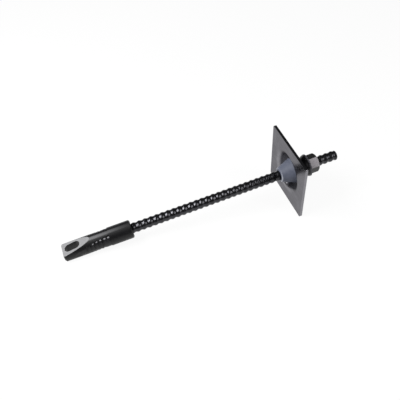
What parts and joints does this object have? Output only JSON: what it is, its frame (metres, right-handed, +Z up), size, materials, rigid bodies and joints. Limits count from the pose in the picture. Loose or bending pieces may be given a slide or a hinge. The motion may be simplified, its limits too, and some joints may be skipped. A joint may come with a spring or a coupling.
{
  "type": "rock bolt",
  "caption": "Hollow rope-thread rock bolt with a wedge expansion head and toothed jaws, grout plug, domed plate, ball washer and hex nut",
  "frame": {"origin": "middle of the bounding box on the floor that the bolt lies on", "axes": "+X along the bolt from the expansion head to the nut, +Z up from the floor, +Y across the plate"},
  "size_m": [0.6314, 0.15, 0.1501],
  "materials": {
    "black_bar": "gloss",
    "black_casting": "satin",
    "blue_grey_plastic": "matte",
    "grey_plate": "satin",
    "black_steel": "satin"
  },
  "bodies": {
    "bar": {"hollow_bar": "black_bar", "expansion_head": "black_casting"},
    "washer": {"ball_washer": "black_steel"},
    "nut": {"hex_nut": "black_steel"},
    "plate": {"bearing_plate": "grey_plate"},
    "plug": {"grout_plug": "blue_grey_plastic"},
    "jaw_front": {"front_jaw": "black_casting"},
    "jaw_rear": {"rear_jaw": "black_casting"}
  },
  "joints": [
    {"name": "seat_travel", "type": "slide", "parent": "bar", "child": "washer", "axis": [0.9931, 0, 0.1175], "range_m": [-0.026, 0.026]},
    {"name": "nut_turn", "type": "hinge", "parent": "washer", "child": "nut", "pos_m": [0.2439, 0, 0.07786], "axis": [0.9931, 0, 0.1175], "range_deg": [-720, 720]},
    {"name": "plate_swivel", "type": "hinge", "parent": "washer", "child": "plate", "pos_m": [0.24877, 0, 0.07843], "axis": [0, 1, 0], "range_deg": [-9, 3]},
    {"name": "plug_slide", "type": "slide", "parent": "washer", "child": "plug", "axis": [0.9931, 0, 0.1175], "range_m": [-0.12, 0]},
    {"name": "front_jaw_slide", "type": "slide", "parent": "bar", "child": "jaw_front", "axis": [-0.9834, -0.1392, -0.1163], "range_m": [0, 0.02]},
    {"name": "rear_jaw_slide", "type": "slide", "parent": "bar", "child": "jaw_rear", "axis": [-0.9834, 0.1392, -0.1163], "range_m": [0, 0.02]}
  ],
  "couplings": [
    {"joint": "nut_turn", "follows": "seat_travel", "rad_per_m": -483.32}
  ]
}
